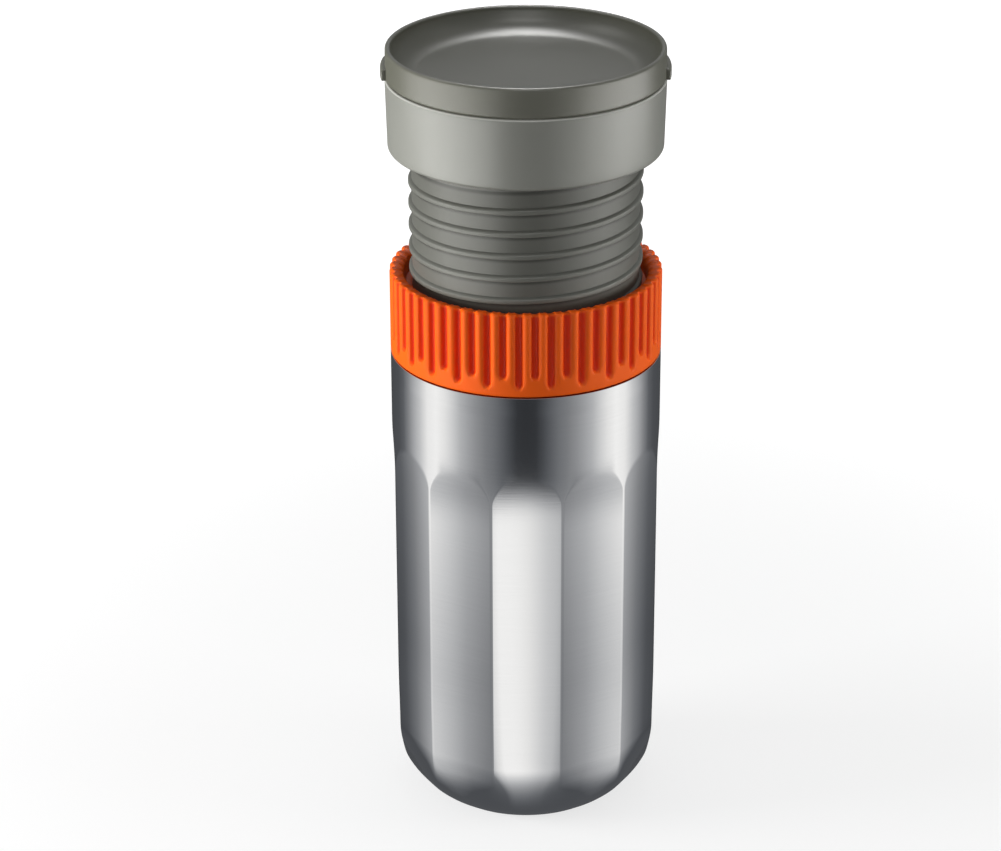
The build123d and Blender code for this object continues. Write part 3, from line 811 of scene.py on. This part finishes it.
# %% Shell section
wall, inner_radius = 2.37, 35.23
plate_radius, recess_radius, recess_depth = 17.5, 19.0, 1.5
swell_foot, swell_top = 92.0, 114.0
shoulder, shoulder_wall = 134.7, 1.0
neck_radius, neck_bore, neck_top = 34.0, 33.4, 143.1
edge = 0.06

heel_centre = (ridge_radius - heel, heel_height)
toe_centre = (heel_centre[0] + (heel - toe) * math.cos(math.radians(60)), toe)
swell_height, swell_depth = swell_top - swell_foot, ridge_radius - body_radius
swell = (swell_height ** 2 + swell_depth ** 2) / (4 * swell_depth)
swell_angle = math.degrees(math.asin(swell_height / 2 / swell))

outside = [(plate_radius, recess_depth), (recess_radius, recess_depth), (recess_radius, 0.25),
           (recess_radius + 0.3, 0.0), (toe_centre[0], 0)]
outside += arc(toe_centre, toe, -90, -60, 8)[1:]
outside += arc(heel_centre, heel, -60, 0, 30)[1:]
outside += [(ridge_radius, z) for z in (24, 26, 28, 30, 32, 34, 36, 38, 40, 42, 46, 50, 60, 70, 80, 86, 90)]
outside += arc((ridge_radius - swell, swell_foot), swell, 0, swell_angle, 16)
outside += arc((body_radius + swell, swell_top), swell, 180 + swell_angle, 180, 16)[1:]
outside += [(body_radius, z) for z in (115, 116.5, 119, 124, 130, 134.2, 134.58)]
outside += arc((body_radius - edge, shoulder - edge), edge, 0, 90, 3)
outside += [(neck_radius + 0.5, shoulder), (neck_radius + 0.1, shoulder + 0.05), (neck_radius, shoulder + 0.2),
            (neck_radius, neck_top), (neck_bore, neck_top)]
inside = [(neck_bore, shoulder - shoulder_wall), (inner_radius, shoulder - shoulder_wall),
          (inner_radius, heel_height)]
inside += arc(heel_centre, heel - wall, 0, -60, 8)[1:] + arc(toe_centre, toe - wall, -60, -90, 3)[1:]
inside += [(plate_radius, wall), (plate_radius, recess_depth)]
shell = turned("shell", outside + inside, steps=360)
print("shell is turned with", len(shell.data.vertices), "points")

# %% [markdown]
# The shell has twelve flats that fade out in arches below the plain band. Lower down they are drawn in
# a little, follow the round of the heel and fade out towards the foot.

# %% Depth of the flats
apothem = 36.13
draw_depth, draw_start, draw_height, draw_foot = 0.25, 42.0, 22.0, 18.0
fade_start, fade_height = 3.0, 14.0
runout_start, runout_height, runout_depth, runout_power = 98.5, 12.0, 0.87, 2.2


def heel_sink(z):
    """How far the round of the heel lies inside the widest radius at a height."""
    return heel - math.sqrt(heel ** 2 - max(0.0, heel_height - z) ** 2)


def flat_distance(z):
    """Axis to the middle of a flat at a height, in millimetres."""
    drawn_in = draw_depth * ease((draw_start - z) / draw_height) * clamp(z / draw_foot)
    if z < heel_height:
        pressed_in = (ridge_radius - apothem) * ease((z - fade_start) / fade_height)
        return ridge_radius - heel_sink(z) - drawn_in - pressed_in
    return apothem - drawn_in + runout_depth * max(0.0, (z - runout_start) / runout_height) ** runout_power


print("a flat lies", round(ridge_radius - flat_distance(60), 2), "mm deep at half height")

# %% [markdown]
# A press leaves soft edges, so a hard cut would look wrong. Each column of points slides so that more
# of them stand at the ridges, and each point moves in to the flat where the flat lies deeper. A soft
# minimum joins flats and round body, as the press does.

# %% Press the flats
flats_foot, flats_top = 0.95, 125.0
wall_middle, heel_middle = 35.6, 1.0
gather = 1.7
ridge_sharpness, arch_loss, arch_start, arch_height = 9.0, 4.5, 96.0, 12.0

for point in shell.data.vertices:
    r, direction, z = round_axis(point)
    inner_half = r < min(wall_middle, ridge_radius - heel_sink(z) - heel_middle)
    if inner_half or z > flats_top or z < flats_foot:
        continue
    middle = round(direction / flat_angle) * flat_angle
    share = (direction - middle) / (flat_angle / 2)
    share = math.copysign(1 - (1 - min(1.0, abs(share))) ** gather, share)
    local = share * flat_angle / 2
    sharpness = ridge_sharpness - arch_loss * clamp((z - arch_start) / arch_height)
    near_flats = [flat_distance(z) / math.cos(local - flat_angle * k) for k in (-1, 0, 1)]
    point.co = on_axis(soft_minimum([r] + near_flats, sharpness), middle + local, z)
finish_piece(shell, shell_steel, "mug", ["mug_outer_shell"], angle=35)

# %% [markdown]
# ## The ring's grip
#
# The grip is a soft orange ring with long and short grooves in turn. It is turned with eighteen columns
# to a groove. Its broad rim slopes down to the bore.

# %% Turn the grip
grip_foot, grip_bore, core_top = 135.0, 35.33, 153.85
foot_round, rim_round, rim_foot = 0.5, 0.9, 157.5
row, rows = 0.55, 14
groove_count, columns = 54, 18
groove_pitch = 360 / groove_count
front, groove_shift = -90, 3.3
first_groove = front - groove_shift

grip_section = [(grip_bore, grip_foot), (body_radius - foot_round, grip_foot)]
grip_section += arc((body_radius - foot_round, grip_foot + foot_round), foot_round, -90, 0, 4)[1:]
grip_section += [(body_radius, grip_foot + foot_round + row * i) for i in range(1, rows + 1)]
grip_section += [(body_radius, z) for z in (145, 148, 151, 154, 156, 157, rim_foot)]
grip_section += arc((body_radius - rim_round, rim_foot), rim_round, 0, 90, 7)[1:]
grip_section += [(35.6, 158.38), (35.1, 158.3), (34.6, 158.15), (34.2, 157.92), (33.85, 157.6), (33.5, 157.1),
                 (33.1, 156.2), (32.7, 155.0), (32.6, core_top), (grip_bore, core_top), (grip_bore, grip_foot)]
grip = turned("grip", grip_section, steps=groove_count * columns, start=first_groove)
print("grip is turned with", len(grip.data.vertices), "points")

# %% [markdown]
# Each groove is the dent of a round-ended bar. The columns are gathered at the groove's edges, and each
# point sinks to the bar's surface. The ribs between are a little crowned, and a soft minimum rounds
# their edges. The rim dips slightly where a groove runs out.

# %% Groove the grip
bar, bar_depth, bar_fullness, skin, bank = 1.25, 1.5, 0.85, 0.05, 3.0
long_foot, short_foot = 2.3, 4.9
notch, notch_start, notch_width = 0.45, 33.6, 0.9
crown, crown_fade = 0.3, 2.0
rib_sharpness = 9.0
outer_skin, rim_height = 35.5, 157.0
half_pitch = math.pi * body_radius / groove_count
column_offsets = (0, 0.5, 0.8, 0.97, 1.08, 1.17, 1.27, 1.42, 1.7, half_pitch)

for point in grip.data.vertices:
    r, direction, z = round_axis(point)
    number = (math.degrees(direction) - first_groove) / groove_pitch
    groove = round(number)
    column = round((number - groove) * columns)
    offset = math.copysign(column_offsets[abs(column)], column)
    direction = math.radians(first_groove + groove * groove_pitch) + offset / body_radius
    if r > outer_skin or z > rim_height:
        foot = grip_foot + (long_foot if groove % 2 == 0 else short_foot) + bar
        away = math.hypot(offset, max(0.0, foot - z))
        hollow = max(0.0, 1 - (away / bar) ** 2) ** bar_fullness
        dent = body_radius + skin - bar_depth * hollow + bank * max(0.0, away - bar)
        if z > rim_height:
            z -= notch * hollow * clamp((r - notch_start) / notch_width)
        from_rib = min(1.0, (half_pitch - abs(offset)) / (half_pitch - bar))
        r -= crown * from_rib ** 2 * clamp((z - foot + bar) / crown_fade)
        r = soft_minimum((r, dent), rib_sharpness)
    point.co = on_axis(r, direction, z)
finish_piece(grip, grip_rubber, "ring", ["ring_grip"])

# %% [markdown]
# ## The water chamber
#
# The chamber is a plain tube with a ledge inside near its foot.

# %% Tube
tube_foot, straight_from = 75.4, 76.5
ledge_bore, ledge_foot, ledge_top = 26.6, 83.4, 84.9

tube_section = rounded(
    [(tube_bore, tube_foot), (tube_radius, tube_foot), (tube_radius, straight_from), (tube_radius, tube_top),
     (tube_bore, tube_top), (tube_bore, ledge_top), (ledge_bore, ledge_top), (ledge_bore, ledge_foot),
     (tube_bore, ledge_foot)],
    {1: 0.3, 6: 0.3, 7: 0.3})
tube = turned("tube", tube_section + tube_section[:1], steps=160)
print("tube", len(tube.data.polygons), "faces")

# %% [markdown]
# One long bead is wound round the tube, right-handed. Only the bead's section is drawn, and the Screw
# modifier winds it. Its ends taper into the tube over a quarter turn.

# %% Thread
turns, steps_per_turn = 17.25, 120
bead_shoulder, end_reach, taper = 30.8, 1.3, 90

bead = rounded(
    [(bead_root, -1.1), (bead_shoulder, -1.0), (bead_crest, -0.72), (bead_crest, 0.5), (bead_shoulder, 1.0),
     (bead_root, 1.1)],
    {1: 0.15, 2: 0.35, 3: 0.5, 4: 0.2})
thread = drawn("thread", [on_axis(r, 0.0, thread_start + z) for r, z in bead])
bpy.ops.object.mode_set(mode="OBJECT")
screw = thread.modifiers.new("wind", "SCREW")
screw.axis = "Z"
screw.angle = turns * 2 * math.pi
screw.screw_offset = turns * lead * MM
screw.steps = screw.render_steps = int(turns * steps_per_turn)
screw.use_smooth_shade = True
bpy.ops.object.modifier_apply(modifier="wind")

for point in thread.data.vertices:
    r, direction, z = round_axis(point)
    rise = z - thread_start
    from_end = min(rise + end_reach, turns * lead - rise + end_reach) / lead * 360
    point.co = on_axis(bead_root + (r - bead_root) * clamp(from_end / taper), direction, z)
join(tube, [thread])
finish_piece(tube, tube_plastic, "chamber", ["water_chamber"])

# %% [markdown]
# ## The filling collar
#
# The collar is a pale funnel. Its wall leans out a little towards the top, its lower edge is well
# rounded, and its rim carries a painted highlight, a thin pale line under the lid. Two extra rows,
# close to the rounded edges, keep the smoothing from bending the light on the straight wall.

# %% Collar
socket_radius, collar_base = 30.63, 192.6
funnel_radius, funnel_top = 35.5, 203.6

collar_section = rounded(
    [(socket_radius, collar_base), (36.9, collar_base), (36.977, 195.6), (37.372, 210.9), (37.4, collar_top),
     (funnel_radius, collar_top), (funnel_radius, funnel_top), (tube_bore, 197.2), (tube_bore, tube_top),
     (socket_radius, tube_top)],
    {1: 1.0, 4: 0.5, 5: 0.3, 6: 1.2, 7: 0.5})
collar = turned("collar", collar_section + collar_section[:1])
finish_piece(collar, collar_plastic, "chamber", ["filling_collar"])

# %% [markdown]
# ## The lid
#
# The lid is a shallow dish with a thin rounded rim. A shadow gap parts it from the collar, and a plug
# under it sits in the funnel.

# %% Lid
dish_floor, dish_round = 213.3, 7.0
rim_middle, lip_round = 219.7, 0.6
gap_top = 212.4
plug_radius, plug_bore, plug_foot = 35.2, 33.0, 205.6
plug_edge = 0.3

lid_section = [(0.0, dish_floor), (14.0, dish_floor), (28.7, dish_floor)]
lid_section += arc((28.8, dish_floor + dish_round), dish_round, -90, -5, 16)[1:]
lid_section += arc((36.37, rim_middle), lip_round, 180, 90, 5) + arc((36.6, rim_middle), lip_round, 90, 0, 5)
lid_section += [(37.207, 219.2), (37.295, 213.0), (37.3, 212.7), (37.05, gap_top), (36.5, gap_top),
                (36.5, collar_top), (plug_radius, collar_top), (plug_radius, plug_foot + plug_edge),
                (plug_radius - plug_edge, plug_foot), (plug_bore + plug_edge, plug_foot),
                (plug_bore, plug_foot + plug_edge), (plug_bore, 211.5), (32.6, 211.9), (0.0, 211.9)]
lid = turned("lid_shell", lid_section)
print("lid", len(lid.data.polygons), "faces")

# %% [markdown]
# Two small ears on the lid's sides give the fingers a hold. They are spun through a few degrees only,
# their ends are filled, and a bevel rounds them.

# %% Ears
ear_radius, ear_root, ear_half_width = 38.5, 36.0, 6.2
ear_bevel, bevel_steps, bevel_from = 0.5, 4, 60
ear_span = 2 * math.degrees(math.asin(ear_half_width / ear_radius))
ear_section = rounded(
    [(ear_root, gap_top), (ear_radius, gap_top), (ear_radius, 215.5), (ear_root, 215.9)], {1: 0.35, 2: 0.9})

ears = []
for side in (0, 180):
    ear = turned("ear", ear_section + ear_section[:1], steps=16, angle=ear_span, start=side + ear_span / 2)
    bpy.ops.object.mode_set(mode="EDIT")
    bpy.ops.mesh.select_all(action="DESELECT")
    bpy.ops.mesh.select_non_manifold()
    bpy.ops.mesh.edge_face_add()
    bpy.ops.mesh.select_all(action="SELECT")
    bpy.ops.mesh.normals_make_consistent(inside=False)
    bpy.ops.object.mode_set(mode="OBJECT")
    soften = ear.modifiers.new("soften", "BEVEL")
    soften.width = ear_bevel * MM
    soften.segments = bevel_steps
    soften.limit_method = "ANGLE"
    soften.angle_limit = math.radians(bevel_from)
    bpy.ops.object.modifier_apply(modifier="soften")
    ears.append(ear)
join(lid, ears)
finish_piece(lid, lid_plastic, "lid_body", ["lid"])

# %% [markdown]
# ## Cards that the steel must not show
#
# The shine cards stand close to the mug. Seen from low down, the plain band of the steel would mirror
# them as white patches, so light linking leaves the shell out of their light.

# %% Keep the cards off the steel
bare_steel = bpy.data.collections.new("bare_steel")
bare_steel.objects.link(shell)
for entry in bare_steel.collection_objects:
    entry.light_linking.link_state = "EXCLUDE"
for lamp in shine:
    lamp.light_linking.receiver_collection = bare_steel

# %% [markdown]
# ## The pieces inside
#
# The liner, the basket, the seals and the screens already have the right shape. They keep their
# solids and only get their finish.

# %% Finishes for the inner solids
finishes = {
    "mug_inner_liner": liner_steel, "mug_base_plate": shell_steel, "vacuum_getter": sheet_steel,
    "lip_washer": slip_plastic, "ring_core": nut_plastic, "collar_seal": seal_silicone,
    "shower_screen": sheet_steel, "screen_snap_ring": sheet_steel, "lid_gasket": seal_silicone,
    "filter_basket": basket_plastic, "basket_gasket": seal_silicone, "piston_seal": seal_silicone,
    "basket_filter": sheet_steel, "filter_clamp_ring": basket_plastic,
}
for name, material in finishes.items():
    nodes[name].data.materials.clear()
    nodes[name].data.materials.append(material)
print("finished", len(finishes), "inner solids")
